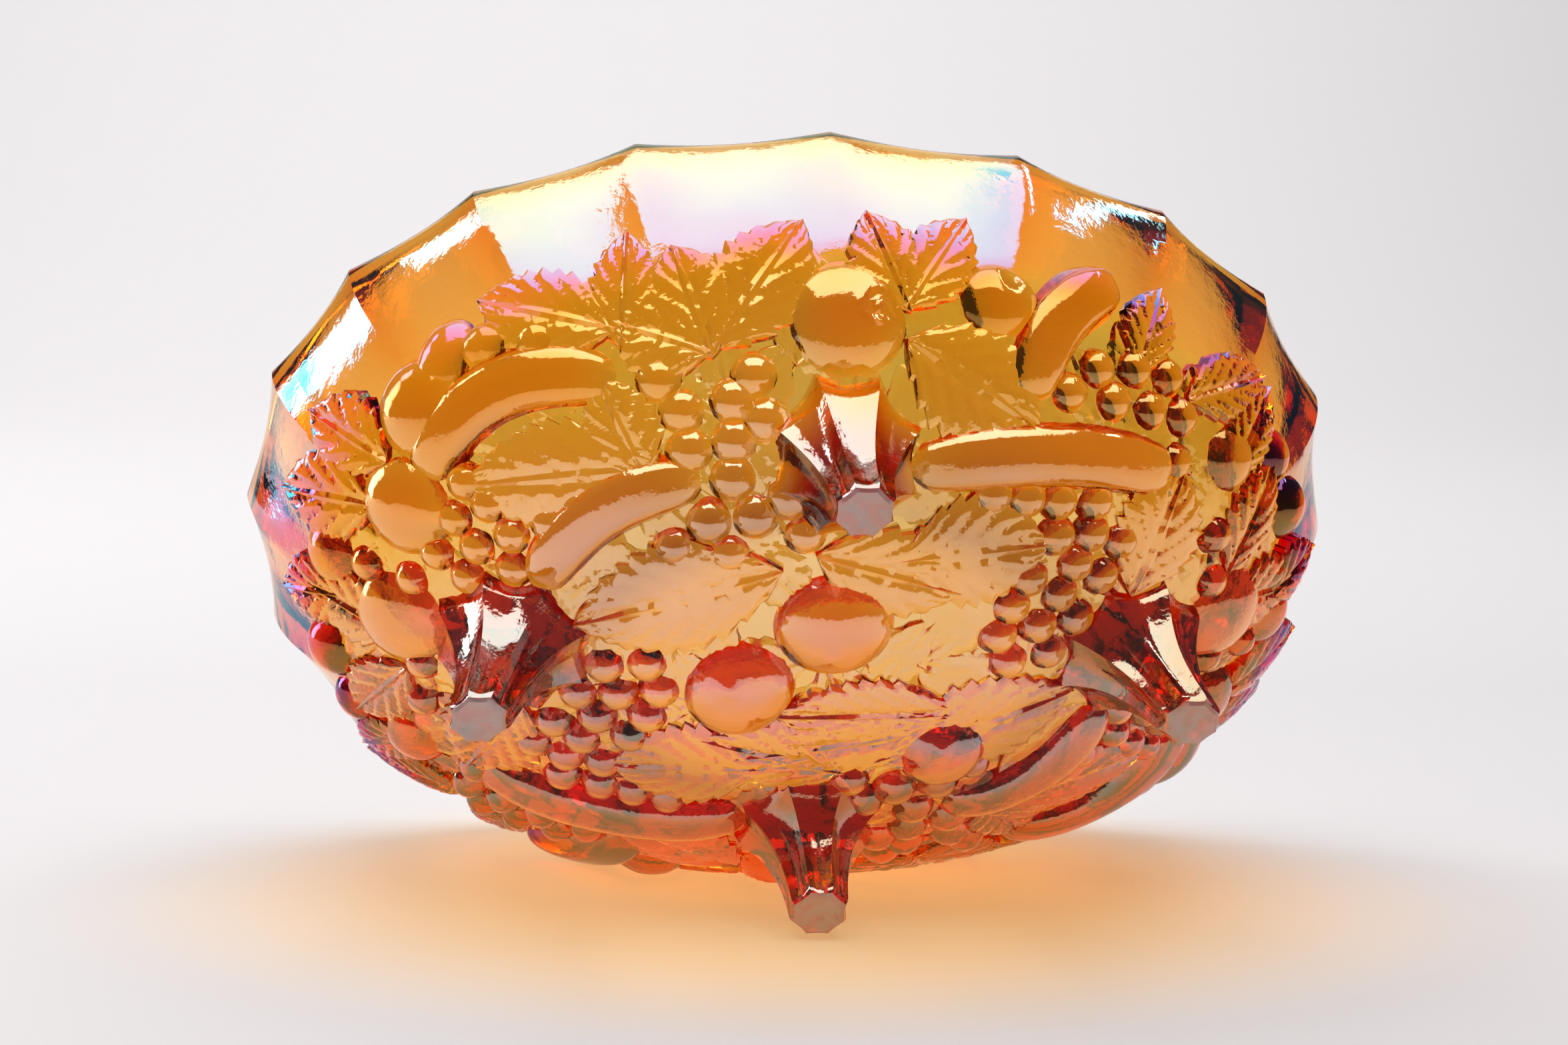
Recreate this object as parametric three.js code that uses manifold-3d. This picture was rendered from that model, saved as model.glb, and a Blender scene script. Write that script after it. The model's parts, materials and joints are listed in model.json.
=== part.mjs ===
// Oval footed fruit bowl in pressed carnival glass.
// Millimetres, +Z up. The feet stand on Z = 0 and the long axis of the rim lies along X.
import * as THREE from 'three';
import { mergeVertices } from 'three/addons/utils/BufferGeometryUtils.js';
import Module from 'manifold-3d';

const wasm = await Module();
wasm.setup();

// ---- Driving sizes of the bowl ----
const LENGTH = 304;          // rim, ridge to ridge along X
const WIDTH = 226;           // rim, ridge to ridge along Y
const HEIGHT = 110;          // table to the top of the lip
const BASE_HEIGHT = 25;      // table to the underside of the middle of the bowl
const WALL = 4.5;            // glass in the middle of a rim panel
const FLOOR = 6;             // glass in the middle of the bottom
const LIP = 2.5;             // height of the rounded top edge
const PANELS = 20;           // fluted panels round the rim
const FLUTE_DEPTH = 3.4;     // hollow of a panel behind its ridges
const FLUTE_START = 0.45;    // share of the way up the wall where the flutes begin
const FLUTE_FULL = 0.8;      // share of the way up where they reach their depth
const PLAN_POWER = 2.15;     // 2 is a true ellipse, more is squarer
const PROFILE_SPREAD = 2.43; // how soon the wall spreads from the middle
const PROFILE_LIFT = 1.68;   // how late the wall turns up

// ---- Feet ----
const FOOT_SPACING_X = 182;  // tip centre to tip centre of the end feet
const FOOT_SPACING_Y = 124;  // tip centre to tip centre of the side feet
const ROOT_SPACING_X = 162;  // root centre to root centre of the end feet
const ROOT_SPACING_Y = 114;  // root centre to root centre of the side feet
const FOOT_TIP = 16;         // across the standing face
const FOOT_ROOT_TALL = 42;   // root, measured up the wall
const FOOT_ROOT_WIDE = 36;   // root, measured round the wall
const FOOT_EDGE = 0.8;       // bevel round the standing face
const FOOT_FACETS = 8;
const FOOT_HOLLOW = 0.87;    // reach of the middle of a facet against its ridges
const FOOT_TAPER = 0.18;     // share of the spread that is an even taper; the rest is the flare
const FOOT_FLARE = 3.2;      // how late the flare opens on the way to the root

// ---- Relief ----
const RELIEF_SINK = 2;       // how far a fruit's middle lies under the wall's face
const LEAF_PROUD = 2.2;      // crest of a leaf above the wall
const LEAF_EDGE = 1.3;       // edge of a leaf above the wall
const PEAR_PROUD = 6.5;      // crest of a pear's belly above the wall
const NECK_PROUD = 4;        // crest of its neck above the wall
const FRUIT_PROUD = 6;       // crest of the other fruits where no height is given
const BANANA_PROUD = 4;      // crest of a banana above the wall
const BERRY_PROUD = 3.6;     // crest of a grape above the wall
const BERRY_SINK = 0.8;      // how far a grape's middle lies under the wall's face
const PAD_PROUD = 1.6;       // crest above the wall of the pad that joins a bunch
const PAD_SPREAD = 1.25;     // size of the pad against its rows of grapes
const GAP = 0.3;             // clearance between neighbouring solids

// ---- Fineness of the faceting ----
const PANEL_STEPS = 3;
const OUTER_RISES = [0.07, 0.15, 0.23, 0.31, 0.39, 0.47, 0.55, 0.64, 0.74, 0.87, 1];
const INNER_RISES = [1, 0.86, 0.72, 0.58, 0.44, 0.3, 0.15];
const LIP_STEPS = 3;
const FRUIT_SIDES = 12;
const PAD_SIDES = 8;
const BERRY_SIDES = 6;
const FOOT_SHARES = [0.3, 0.55, 0.78, 0.92, 1];

const RIM_HEIGHT = HEIGHT - LIP;
const DEGREE = Math.PI / 180;
const HALF_TURN = 180;
const UP = new THREE.Vector3(0, 0, 1);

// ---- Solids ----

function toManifold(geometry) {
  const bare = geometry.clone();
  bare.deleteAttribute('normal');
  bare.deleteAttribute('uv');
  const merged = mergeVertices(bare, 1e-4);
  return new wasm.Manifold(new wasm.Mesh({
    numProp: 3,
    vertProperties: new Float32Array(merged.attributes.position.array),
    triVerts: new Uint32Array(merged.index.array),
  }));
}

function toGeometry(solid) {
  const mesh = solid.getMesh();
  const geometry = new THREE.BufferGeometry();
  geometry.setAttribute('position', new THREE.BufferAttribute(mesh.vertProperties, 3));
  geometry.setIndex(new THREE.BufferAttribute(mesh.triVerts, 1));
  geometry.computeVertexNormals();
  return geometry;
}

// A closed skin through rings of equal count, with a point closing each end.
function loft(start, rings, end) {
  const count = rings[0].length;
  const points = [start, ...rings.flat(), end];
  const last = points.length - 1;
  const faces = [];
  for (let i = 0; i < count; i += 1) {
    const next = (i + 1) % count;
    faces.push(0, 1 + next, 1 + i);
    for (let ring = 0; ring < rings.length - 1; ring += 1) {
      const low = 1 + ring * count;
      const high = low + count;
      faces.push(low + i, low + next, high + next);
      faces.push(low + i, high + next, high + i);
    }
    const top = last - count;
    faces.push(top + i, top + next, last);
  }
  const geometry = new THREE.BufferGeometry();
  geometry.setFromPoints(points);
  geometry.setIndex(faces);
  const solid = toManifold(geometry);
  if (solid.volume() > 0) return solid;
  geometry.setIndex(faces.reverse());
  return toManifold(geometry);
}

// ---- The wall's face ----

function signedPower(value, power) {
  return Math.sign(value) * Math.abs(value) ** power;
}

// How far a panel falls back from the line of its ridges.
function fluteAt(bearing, rise) {
  const panel = bearing / DEGREE / (360 / PANELS);
  const across = 2 * (panel - Math.floor(panel)) - 1;
  const share = THREE.MathUtils.smoothstep(rise, FLUTE_START, FLUTE_FULL);
  return FLUTE_DEPTH * share * (1 - across ** 2);
}

// A point of the face: bearing round the bowl, rise from 0 at the middle to 1 at the rim.
function wallPoint(bearing, rise, grow = 0, dip = 0, bottom = BASE_HEIGHT - grow) {
  const swing = rise * Math.PI / 2;
  const reach = Math.sin(swing) ** (2 / PROFILE_SPREAD);
  const lift = 1 - Math.max(Math.cos(swing), 0) ** (2 / PROFILE_LIFT);
  const x = (LENGTH / 2 + grow) * reach * signedPower(Math.cos(bearing), 2 / PLAN_POWER);
  const y = (WIDTH / 2 + grow) * reach * signedPower(Math.sin(bearing), 2 / PLAN_POWER);
  const inward = 1 - dip / Math.max(Math.hypot(x, y), 1);
  return new THREE.Vector3(x * inward, y * inward, bottom + (RIM_HEIGHT - bottom) * lift);
}

function ringOf(pointAt) {
  const count = PANELS * PANEL_STEPS;
  return Array.from({ length: count }, (_, i) => pointAt((i / count) * 2 * Math.PI));
}

function outerRings(grow) {
  return OUTER_RISES.map((rise) => (
    ringOf((bearing) => wallPoint(bearing, rise, grow, fluteAt(bearing, rise)))
  ));
}

// The bowl's outside as if it were solid, used to cut whatever stands on it.
function outerSolid(grow) {
  const rings = outerRings(grow);
  const raised = rings.at(-1).map((point) => point.clone().setZ(HEIGHT + WALL));
  return loft(
    new THREE.Vector3(0, 0, BASE_HEIGHT - grow),
    [...rings, raised],
    new THREE.Vector3(0, 0, HEIGHT + WALL),
  );
}

function bowlWall() {
  const inset = -(WALL + FLUTE_DEPTH);
  const floorHeight = BASE_HEIGHT + FLOOR;
  const outer = outerRings(0);
  const inner = INNER_RISES.map((rise) => (
    ringOf((bearing) => wallPoint(bearing, rise, inset, 0, floorHeight))
  ));
  const lip = [];
  for (let step = 1; step < LIP_STEPS; step += 1) {
    const turn = (step / LIP_STEPS) * Math.PI;
    lip.push(outer.at(-1).map((point, i) => {
      const over = point.clone().lerp(inner[0][i], (1 - Math.cos(turn)) / 2);
      return over.setZ(RIM_HEIGHT + LIP * Math.sin(turn) / Math.sin(Math.PI / LIP_STEPS));
    }));
  }
  return loft(
    new THREE.Vector3(0, 0, BASE_HEIGHT),
    [...outer, ...lip, ...inner],
    new THREE.Vector3(0, 0, floorHeight),
  );
}

// ---- Places on the wall ----

// True outside the plain wall, flutes left aside.
function isOutside(point) {
  const plan = (Math.abs(point.x / (LENGTH / 2)) ** PLAN_POWER
    + Math.abs(point.y / (WIDTH / 2)) ** PLAN_POWER) ** (1 / PLAN_POWER);
  const lift = (point.z - BASE_HEIGHT) / (RIM_HEIGHT - BASE_HEIGHT);
  if (lift <= 0) return true;
  const level = (1 - Math.min(lift, 1)) ** (PROFILE_LIFT / 2);
  return plan > Math.sqrt(1 - level ** 2) ** (2 / PROFILE_SPREAD);
}

// A place on the wall, turned so that `along` heads `turn` degrees from level, seen from outside.
// around: degrees round from the middle of the front, towards +X. rise: 0 middle, 1 rim.
function placeOn(around, rise, turn) {
  const bearing = (around - 90) * DEGREE;
  const step = 1e-3;
  const level = wallPoint(bearing + step, rise).sub(wallPoint(bearing - step, rise));
  const slope = wallPoint(bearing, rise + step).sub(wallPoint(bearing, rise - step));
  const out = level.clone().cross(slope).normalize();
  const along = level.normalize().applyAxisAngle(out, turn * DEGREE);
  return { point: wallPoint(bearing, rise), along, across: out.clone().cross(along), out };
}

// The point of the wall under a place's own plane, raised by `lift`.
function onWall(place, u, v, lift) {
  const start = place.point.clone().addScaledVector(place.along, u).addScaledVector(place.across, v);
  let low = -60;
  let high = 40;
  for (let i = 0; i < 24; i += 1) {
    const middle = (low + high) / 2;
    if (isOutside(start.clone().addScaledVector(place.out, middle))) high = middle;
    else low = middle;
  }
  return start.addScaledVector(place.out, high + lift);
}

// ---- Shapes of the relief, each able to grow by a clearance ----

function ellipsoid(place, centre, across, tall, deep, segments) {
  const sphere = new THREE.SphereGeometry(1, segments, Math.round(segments * 0.7));
  sphere.scale(across, tall, deep);
  const frame = new THREE.Matrix4().makeBasis(place.along, place.across, place.out);
  sphere.applyMatrix4(frame.setPosition(centre));
  return toManifold(sphere);
}

function fruit({ around, rise, turn = 0, across, tall, proud = FRUIT_PROUD }) {
  return (grow) => {
    const place = placeOn(around, rise, turn);
    const centre = onWall(place, 0, 0, -RELIEF_SINK);
    const deep = proud + RELIEF_SINK + grow;
    return ellipsoid(place, centre, across / 2 + grow, tall / 2 + grow, deep, FRUIT_SIDES);
  };
}

function pear({ around, rise, turn, belly, neck, length }) {
  return (grow) => {
    const body = fruit({ around, rise, turn, across: belly, tall: belly, proud: PEAR_PROUD })(grow);
    const place = placeOn(around, rise, turn);
    const centre = onWall(place, length - (belly + neck) / 2, 0, -RELIEF_SINK);
    const deep = NECK_PROUD + RELIEF_SINK + grow;
    const top = ellipsoid(place, centre, belly / 2 + grow, neck / 2 + grow, deep, FRUIT_SIDES);
    return body.add(top);
  };
}

// A curved fruit: `chord` end to end, bowed sideways by `bend`, `thick` across the middle.
function banana({ around, rise, turn, chord, bend, thick }) {
  const steps = 9;
  const sides = 8;
  return (grow) => {
    const place = placeOn(around, rise, turn);
    const spine = (share) => {
      const u = (share - 0.5) * (chord + 2 * grow);
      const v = bend * (1 - (2 * share - 1) ** 2) - bend / 2;
      return onWall(place, u, v, -RELIEF_SINK);
    };
    const rings = [];
    for (let step = 1; step < steps; step += 1) {
      const share = step / steps;
      const fat = (1 - Math.abs(2 * share - 1) ** 3.5) ** 0.5;
      const half = (thick / 2) * fat + grow;
      const deep = (BANANA_PROUD + RELIEF_SINK) * fat + grow;
      const heading = spine(share + 0.02).sub(spine(share - 0.02)).normalize();
      const side = place.out.clone().cross(heading).normalize();
      const out = heading.clone().cross(side);
      rings.push(Array.from({ length: sides }, (_, i) => {
        const angle = (i / sides) * 2 * Math.PI;
        return spine(share)
          .addScaledVector(side, half * Math.cos(angle))
          .addScaledVector(out, deep * Math.sin(angle));
      }));
    }
    return loft(spine(0), rings, spine(1));
  };
}

// A pointed leaf, highest along its middle vein.
function leaf({ around, rise, turn, length, width }) {
  const steps = 6;
  return (grow) => {
    const place = placeOn(around, rise, turn);
    const half = length / 2 + grow;
    const rings = [];
    for (let step = 1; step < steps; step += 1) {
      const share = step / steps;
      const u = (2 * share - 1) * half;
      const reach = (width / 2) * Math.sin(Math.PI * share ** 0.8) + grow;
      rings.push([
        onWall(place, u, -reach, -RELIEF_SINK),
        onWall(place, u, -reach, LEAF_EDGE + grow),
        onWall(place, u, 0, LEAF_PROUD + grow),
        onWall(place, u, reach, LEAF_EDGE + grow),
        onWall(place, u, reach, -RELIEF_SINK),
      ]);
    }
    return loft(onWall(place, -half, 0, 0), rings, onWall(place, half, 0, 0));
  };
}

// Rows of grapes from the stem to the tip of the bunch, standing on one low pad that joins them.
function bunch({ around, rise, turn, rows, berry }) {
  const pitch = berry + GAP;
  const rowPitch = pitch * 0.88;
  const widest = Math.max(...rows);
  return (grow) => {
    const place = placeOn(around, rise, turn);
    const padDeep = PAD_PROUD + RELIEF_SINK + grow;
    const padLong = (rows.length * rowPitch) * PAD_SPREAD / 2 + grow;
    const padWide = (widest * pitch) * PAD_SPREAD / 2 + grow;
    const padCentre = onWall(place, 0, 0, -RELIEF_SINK);
    let cluster = ellipsoid(place, padCentre, padLong, padWide, padDeep, PAD_SIDES);
    rows.forEach((count, row) => {
      for (let i = 0; i < count; i += 1) {
        const u = (row - (rows.length - 1) / 2) * rowPitch;
        const v = (i - (count - 1) / 2) * pitch;
        const centre = onWall(place, u, v, -BERRY_SINK);
        const half = berry / 2 + grow;
        const deep = BERRY_PROUD + BERRY_SINK + grow;
        const grape = ellipsoid(place, centre, half, half, deep, BERRY_SIDES);
        cluster = cluster.add(grape);
      }
    });
    return cluster;
  };
}

// ---- Feet ----

// A fluted stump that flares from its standing face to its root on the wall.
function foot(bearing, spacing, rootSpacing) {
  const outward = new THREE.Vector3(Math.cos(bearing), Math.sin(bearing), 0);
  return (grow) => {
    const tip = outward.clone().multiplyScalar(spacing / 2);
    return stump(tip, outward, rootOnWall(outward, rootSpacing / 2), grow);
  };
}

function stump(tip, outward, root, grow) {
  const sideways = UP.clone().cross(outward);
  const rings = [];
  const addRing = (share, raise, wide, tall) => {
    const centre = tip.clone().lerp(root.point, share).addScaledVector(UP, raise);
    const radial = outward.clone().lerp(root.upWall, share ** 2).normalize();
    rings.push(Array.from({ length: 2 * FOOT_FACETS }, (_, i) => {
      const angle = (i / FOOT_FACETS) * Math.PI;
      const ridge = i % 2 === 1 ? 1 : FOOT_HOLLOW;
      return centre.clone()
        .addScaledVector(sideways, ridge * (wide / 2 + grow) * Math.cos(angle))
        .addScaledVector(radial, ridge * (tall / 2 + grow) * Math.sin(angle));
    }));
  };
  addRing(0, 0, FOOT_TIP - 2 * FOOT_EDGE, FOOT_TIP - 2 * FOOT_EDGE);
  addRing(0, FOOT_EDGE, FOOT_TIP, FOOT_TIP);
  FOOT_SHARES.forEach((share) => {
    const flare = FOOT_TAPER * share + (1 - FOOT_TAPER) * share ** FOOT_FLARE;
    const wide = FOOT_TIP + (FOOT_ROOT_WIDE - FOOT_TIP) * flare;
    const tall = FOOT_TIP + (FOOT_ROOT_TALL - FOOT_TIP) * flare;
    addRing(share, FOOT_EDGE * (1 - share), wide, tall);
  });
  const sunk = rings.at(-1).map((point) => point.clone().addScaledVector(UP, WALL + FLOOR));
  return loft(tip, [...rings, sunk], root.point.clone().addScaledVector(UP, WALL + FLOOR));
}

function rootOnWall(outward, reach) {
  const pointAt = (distance) => {
    const point = outward.clone().multiplyScalar(distance).setZ(BASE_HEIGHT);
    while (isOutside(point) && point.z < RIM_HEIGHT) point.z += 0.25;
    return point;
  };
  const span = FOOT_ROOT_TALL / 3;
  const upWall = pointAt(reach + span).sub(pointAt(reach - span)).normalize();
  return { point: pointAt(reach), upWall };
}

// ---- What stands on the wall, most important first: later pieces give way to earlier ones ----

const bottomCentre = [
  ['plum_bottom_front', fruit, { around: 0, rise: 0.05, across: 31, tall: 25, proud: 5 }],
  ['plum_bottom_back', fruit, { around: -115, rise: 0.07, across: 30, tall: 26, proud: 5 }],
  ['plum_bottom_right', fruit, { around: 139, rise: 0.16, across: 24, tall: 24, proud: 5 }],
  ['leaf_bottom', leaf, { around: 160, rise: 0.07, turn: -9, length: 58, width: 24 }],
];

// One half of the pattern, given for the front; the back is the same, turned half way round.
const halfPattern = [
  ['pear', pear, { around: -55, rise: 0.58, turn: 45, belly: 28, neck: 15, length: 40 }],
  ['peach', fruit, { around: 0, rise: 0.51, across: 31, tall: 31, proud: 7 }],
  ['apple', fruit, { around: 17, rise: 0.57, across: 22, tall: 21 }],
  ['side_apple', fruit, { around: -71, rise: 0.49, across: 26, tall: 28 }],
  ['end_apple', fruit, { around: 89, rise: 0.47, across: 26, tall: 27 }],
  ['plum', fruit, { around: 62, rise: 0.54, across: 20, tall: 20, proud: 5 }],
  ['high_banana', banana, { around: 27, rise: 0.55, turn: -114, chord: 42, bend: -8, thick: 14 }],
  ['long_banana', banana, { around: 36, rise: 0.34, turn: 24, chord: 74, bend: 5, thick: 14 }],
  ['broad_banana', banana, { around: -47, rise: 0.48, turn: -6, chord: 58, bend: 13, thick: 14 }],
  ['low_banana', banana, { around: -50, rise: 0.27, turn: -2, chord: 52, bend: 8, thick: 14 }],
  ['high_grapes', bunch, { around: 41, rise: 0.5, turn: -90, rows: [2, 3], berry: 11.5 }],
  ['right_grapes', bunch, { around: 54, rise: 0.25, turn: -60, rows: [3, 4, 3], berry: 12 }],
  ['middle_grapes', bunch, { around: -20, rise: 0.34, turn: -80, rows: [2, 3, 2], berry: 12 }],
  ['left_grapes', bunch, { around: -66, rise: 0.37, turn: -65, rows: [2, 3, 2], berry: 12 }],
  ['leaf_by_pear', leaf, { around: -33, rise: 0.6, turn: 146, length: 36, width: 24 }],
  ['leaf_by_peach', leaf, { around: -14, rise: 0.57, turn: 60, length: 44, width: 34 }],
  ['leaf_over_apple', leaf, { around: 7, rise: 0.62, turn: 75, length: 32, width: 28 }],
  ['leaf_under_apple', leaf, { around: 16, rise: 0.42, turn: -23, length: 38, width: 28 }],
  ['leaf_high_right', leaf, { around: 50, rise: 0.62, turn: 50, length: 32, width: 24 }],
  ['leaf_on_banana', leaf, { around: -47, rise: 0.37, turn: 152, length: 46, width: 26 }],
  ['leaf_low_left', leaf, { around: -55, rise: 0.15, turn: 150, length: 50, width: 28 }],
  ['leaf_by_long_banana', leaf, { around: 37, rise: 0.19, turn: 33, length: 36, width: 26 }],
  ['leaf_right', leaf, { around: 66, rise: 0.39, turn: 125, length: 30, width: 26 }],
  ['leaf_left_end', leaf, { around: -68, rise: 0.64, turn: 104, length: 30, width: 22 }],
];

const carnivalGlass = { color: 0xc07a1c, roughness: 0.08, metalness: 0.1 };
const footGlass = { color: 0x7a2e12, roughness: 0.12, metalness: 0.1 };
const bowl = new THREE.Group();

function addPiece(name, solid, finish) {
  const mesh = new THREE.Mesh(toGeometry(solid), new THREE.MeshStandardMaterial(finish));
  mesh.name = name;
  bowl.add(mesh);
}

// Small cut-off scraps are not part of a piece: its largest body is kept.
function largestBody(solid) {
  return solid.decompose().reduce((best, body) => (body.volume() > best.volume() ? body : best));
}

addPiece('bowl_wall', bowlWall(), carnivalGlass);

let taken = outerSolid(GAP);

function addStanding(name, shape, finish = carnivalGlass) {
  addPiece(name, largestBody(shape(0).subtract(taken)), finish);
  taken = taken.add(shape(GAP));
}

function addBothHalves(name, make, sizes) {
  for (const [side, turned] of [['front', 0], ['back', HALF_TURN]]) {
    addStanding(`${name}_${side}`, make({ ...sizes, around: sizes.around + turned }));
  }
}

addStanding('foot_right', foot(0, FOOT_SPACING_X, ROOT_SPACING_X), footGlass);
addStanding('foot_back', foot(Math.PI / 2, FOOT_SPACING_Y, ROOT_SPACING_Y), footGlass);
addStanding('foot_left', foot(Math.PI, FOOT_SPACING_X, ROOT_SPACING_X), footGlass);
addStanding('foot_front', foot(-Math.PI / 2, FOOT_SPACING_Y, ROOT_SPACING_Y), footGlass);
for (const [name, make, sizes] of bottomCentre) addStanding(name, make(sizes));
for (const [name, make, sizes] of halfPattern) addBothHalves(name, make, sizes);

export default bowl;
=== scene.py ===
"""An oval footed fruit bowl in pressed carnival glass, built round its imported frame."""
import json
import math

import bpy
import numpy as np
from mathutils import Matrix, Vector

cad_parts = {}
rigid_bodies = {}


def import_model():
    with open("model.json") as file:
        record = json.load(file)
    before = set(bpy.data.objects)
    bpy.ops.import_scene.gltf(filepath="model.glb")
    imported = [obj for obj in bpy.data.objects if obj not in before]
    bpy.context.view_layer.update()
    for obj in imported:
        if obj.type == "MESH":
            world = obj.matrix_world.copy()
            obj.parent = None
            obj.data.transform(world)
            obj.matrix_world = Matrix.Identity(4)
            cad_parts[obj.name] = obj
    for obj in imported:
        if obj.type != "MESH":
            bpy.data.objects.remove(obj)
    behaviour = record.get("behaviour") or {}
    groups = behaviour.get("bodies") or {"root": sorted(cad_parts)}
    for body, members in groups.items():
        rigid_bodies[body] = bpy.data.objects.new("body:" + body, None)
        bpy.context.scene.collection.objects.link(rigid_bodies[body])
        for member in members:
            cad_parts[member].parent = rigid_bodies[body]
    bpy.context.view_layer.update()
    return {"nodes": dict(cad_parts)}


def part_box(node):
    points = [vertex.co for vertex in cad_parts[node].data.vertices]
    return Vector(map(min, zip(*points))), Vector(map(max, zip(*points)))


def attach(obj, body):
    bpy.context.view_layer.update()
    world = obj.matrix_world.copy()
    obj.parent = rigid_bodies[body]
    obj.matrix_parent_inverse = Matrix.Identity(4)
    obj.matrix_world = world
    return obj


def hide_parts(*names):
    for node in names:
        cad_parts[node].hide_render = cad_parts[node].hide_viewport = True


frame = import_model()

# ---- Wall, floor and rim ----
# The bowl is one thick pressing of amber glass. The plunger leaves the inside plain, and the
# mould presses twenty hollow panels into the outside, which meet in ridges that run up to a
# rounded lip. It is one sheet of squares, wrapped from the middle of the underside over the lip.
MM = 0.001
wall_low, wall_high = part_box("bowl_wall")
HALF_LONG = wall_high.x
HALF_WIDE = wall_high.y
BASE_HEIGHT = wall_low.z
LIP = 2.5 * MM
RIM_HEIGHT = wall_high.z - LIP
WALL = 4.5 * MM
FLOOR = 6 * MM
PANELS = 20
FLUTE_DEPTH = 3.4 * MM
FLUTE_START = 0.45
FLUTE_FULL = 0.8
PLAN_POWER = 2.15
PROFILE_SPREAD = 2.43
PROFILE_LIFT = 1.68
PANEL_COLUMNS = 10
OUTER_ROWS = 56
LIP_ROWS = 8
INNER_ROWS = 30


def plain_wall(bearing, rise, half_long, half_wide, bottom):
    """Points of an oval wall: bearing round it in radians, rise 0 in the middle to 1 at the rim."""
    swing = rise * math.pi / 2
    reach = np.sin(swing) ** (2 / PROFILE_SPREAD)
    lift = 1 - np.clip(np.cos(swing), 0, 1) ** (2 / PROFILE_LIFT)
    cos, sin = np.cos(bearing), np.sin(bearing)
    x = half_long * reach * np.sign(cos) * np.abs(cos) ** (2 / PLAN_POWER)
    y = half_wide * reach * np.sign(sin) * np.abs(sin) ** (2 / PLAN_POWER)
    return np.stack([x, y, bottom + (RIM_HEIGHT - bottom) * lift + 0 * x], -1)


def outer_wall(bearing, rise):
    """The outside of the bowl with its hollow panels."""
    points = plain_wall(bearing, rise, HALF_LONG, HALF_WIDE, BASE_HEIGHT)
    across = 2 * ((bearing * PANELS / (2 * math.pi)) % 1) - 1
    share = np.clip((rise - FLUTE_START) / (FLUTE_FULL - FLUTE_START), 0, 1)
    share = share * share * (3 - 2 * share)
    dip = FLUTE_DEPTH * share * (1 - across ** 2)
    plan = np.maximum(np.hypot(points[..., 0], points[..., 1]), MM)
    points[..., :2] *= (1 - dip / plan)[..., None]
    return points


def inner_wall(bearing, rise):
    """The plain inside that the plunger leaves."""
    inset = WALL + FLUTE_DEPTH
    return plain_wall(bearing, rise, HALF_LONG - inset, HALF_WIDE - inset, BASE_HEIGHT + FLOOR)


def lay_sheet(name, columns, rows, place):
    """A flat sheet of squares carried to place(u, v), then welded shut and turned outwards."""
    bpy.ops.object.select_all(action="DESELECT")
    bpy.ops.mesh.primitive_grid_add(x_subdivisions=columns, y_subdivisions=rows, size=1)
    sheet = bpy.context.object
    sheet.name = name
    corners = np.empty(len(sheet.data.vertices) * 3)
    sheet.data.vertices.foreach_get("co", corners)
    corners = corners.reshape(-1, 3)
    moved = place(corners[:, 0] + 0.5, corners[:, 1] + 0.5)
    sheet.data.vertices.foreach_set("co", moved.ravel())
    bpy.ops.object.mode_set(mode="EDIT")
    bpy.ops.mesh.select_all(action="SELECT")
    bpy.ops.mesh.remove_doubles(threshold=1e-6)
    bpy.ops.mesh.normals_make_consistent(inside=False)
    bpy.ops.object.mode_set(mode="OBJECT")
    return sheet


def bowl_section(u, v):
    """From the middle of the underside (v 0) over the lip to the middle of the inside (v 1)."""
    bearing = 2 * math.pi * u
    rows = OUTER_ROWS + LIP_ROWS + INNER_ROWS
    row = v * rows
    rise_out = np.clip(row / OUTER_ROWS, 0, 1)
    rise_in = np.clip((rows - row) / INNER_ROWS, 0, 1)
    turn = np.clip((row - OUTER_ROWS) / LIP_ROWS, 0, 1) * math.pi
    outside = outer_wall(bearing, rise_out)
    inside = inner_wall(bearing, rise_in)
    over = ((1 - np.cos(turn)) / 2)[:, None]
    points = outside * (1 - over) + inside * over
    points[:, 2] += LIP * np.sin(turn) ** 0.8
    points[row >= OUTER_ROWS + LIP_ROWS] = inside[row >= OUTER_ROWS + LIP_ROWS]
    return points


bowl = lay_sheet("carnival_glass_bowl", PANELS * PANEL_COLUMNS,
                 OUTER_ROWS + LIP_ROWS + INNER_ROWS, bowl_section)
glass = bpy.data.materials.new("carnival_glass")
bowl.data.materials.append(glass)
bowl.data.materials.append(bpy.data.materials.new("bare_inside"))
middle_of_bowl = Vector((0, 0, (wall_low.z + wall_high.z) / 2))
for face in bowl.data.polygons:
    face.material_index = int(face.normal.dot(face.center - middle_of_bowl) < 0)

# ---- Feet ----
# Four stubby feet of solid glass, pressed with the bowl. Each has eight hollow facets that flare
# into the wall at the root, and stands on a worn octagonal face about 16 mm across.
FOOT_TIP = 16 * MM
FOOT_ROOT_TALL = 50 * MM
FOOT_ROOT_WIDE = 46 * MM
FOOT_FACETS = 8
FOOT_HOLLOW = 0.17
FOOT_EDGE = 1.2 * MM
FOOT_FACE_DOME = 0.25 * MM
FOOT_SINK = 2.5 * MM
FOOT_TAPER = 0.2
FOOT_FLARE = 3.2
FOOT_FACE_END = 0.1
FOOT_SIDE_SHARE = 0.82
FOOT_CLOSE_START = 0.92
FOOT_CLOSE_SHARE = 0.08
FOOT_FACET_COLUMNS = 6
FOOT_ROWS = 44
ROOT_STEP = 14 * MM
TIP_REACH = {"foot_right": 91 * MM, "foot_left": 91 * MM,
             "foot_front": 62 * MM, "foot_back": 62 * MM}
ROOT_REACH = {"foot_right": 81 * MM, "foot_left": 81 * MM,
              "foot_front": 57 * MM, "foot_back": 57 * MM}
FOOT_BEARING = {"foot_right": 0, "foot_back": 90, "foot_left": 180, "foot_front": 270}
UP = np.array([0.0, 0.0, 1.0])


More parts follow.
